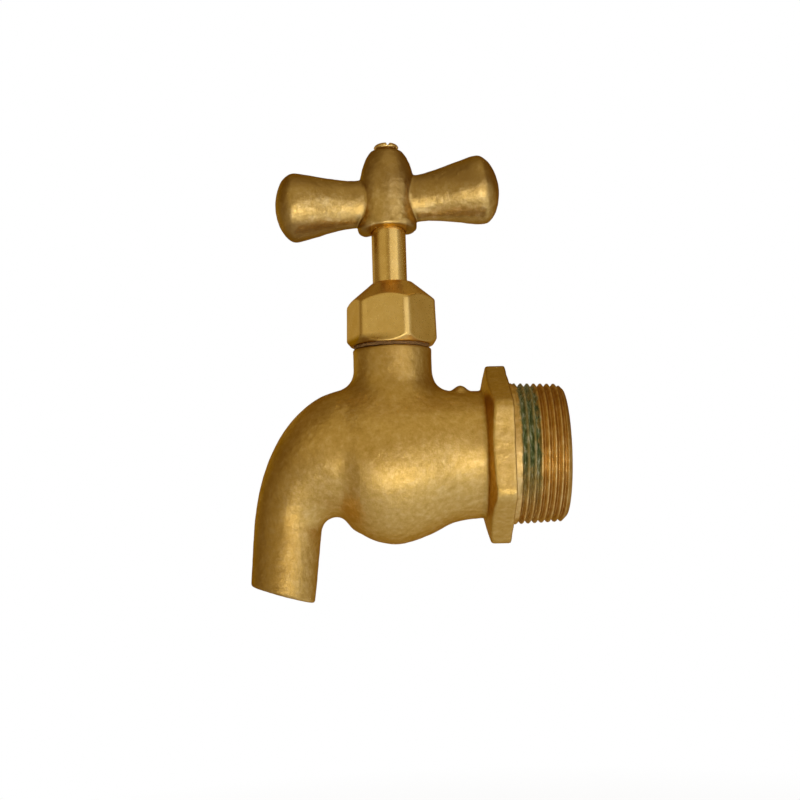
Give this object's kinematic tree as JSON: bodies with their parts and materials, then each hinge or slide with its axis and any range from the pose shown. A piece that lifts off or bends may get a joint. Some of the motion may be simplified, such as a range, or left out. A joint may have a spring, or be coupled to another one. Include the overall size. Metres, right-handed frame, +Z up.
{
  "type": "bib tap",
  "caption": "Brass bib tap: cast body with down-turned spout, hexagon flange and threaded inlet, screwed bonnet and a cross-bar handle on a rising spindle.",
  "frame": {"origin": "centre of the inlet thread where it leaves the hexagon flange", "axes": "+X along the inlet thread, out of the tap into the pipe; +Z up along the spindle; the spout is on the -X side"},
  "size_m": [0.0738, 0.037, 0.1093],
  "materials": {
    "cast_brass": "fine cast grain, satin",
    "handle_brass": "tumbled casting, satin",
    "machined_brass": "machined, bright satin",
    "turned_brass": "turned, bright",
    "fibre": "pressed fibre",
    "seal_rubber": "matt"
  },
  "bodies": {
    "root": {"tap_body": "cast_brass", "bonnet": "machined_brass", "bonnet_gasket": "fibre"},
    "valve": {"jumper_valve": "turned_brass", "seat_washer": "seal_rubber", "washer_nut": "machined_brass"},
    "turning_parts": {"spindle": "turned_brass", "upper_seal_ring": "seal_rubber", "lower_seal_ring": "seal_rubber", "handle": "handle_brass", "handle_screw": "machined_brass"}
  },
  "joints": [
    {"name": "valve_lift", "type": "slide", "parent": "root", "child": "valve", "axis": [0, 0, 1], "range_m": [0, 0.005]},
    {"name": "spindle_turn", "type": "hinge", "parent": "valve", "child": "turning_parts", "pos_m": [-0.02655, 0, 0], "axis": [0, 0, 1], "range_deg": [0, 720]}
  ],
  "couplings": [
    {"joint": "valve_lift", "follows": "spindle_turn", "m_per_rad": 0.00039789}
  ]
}
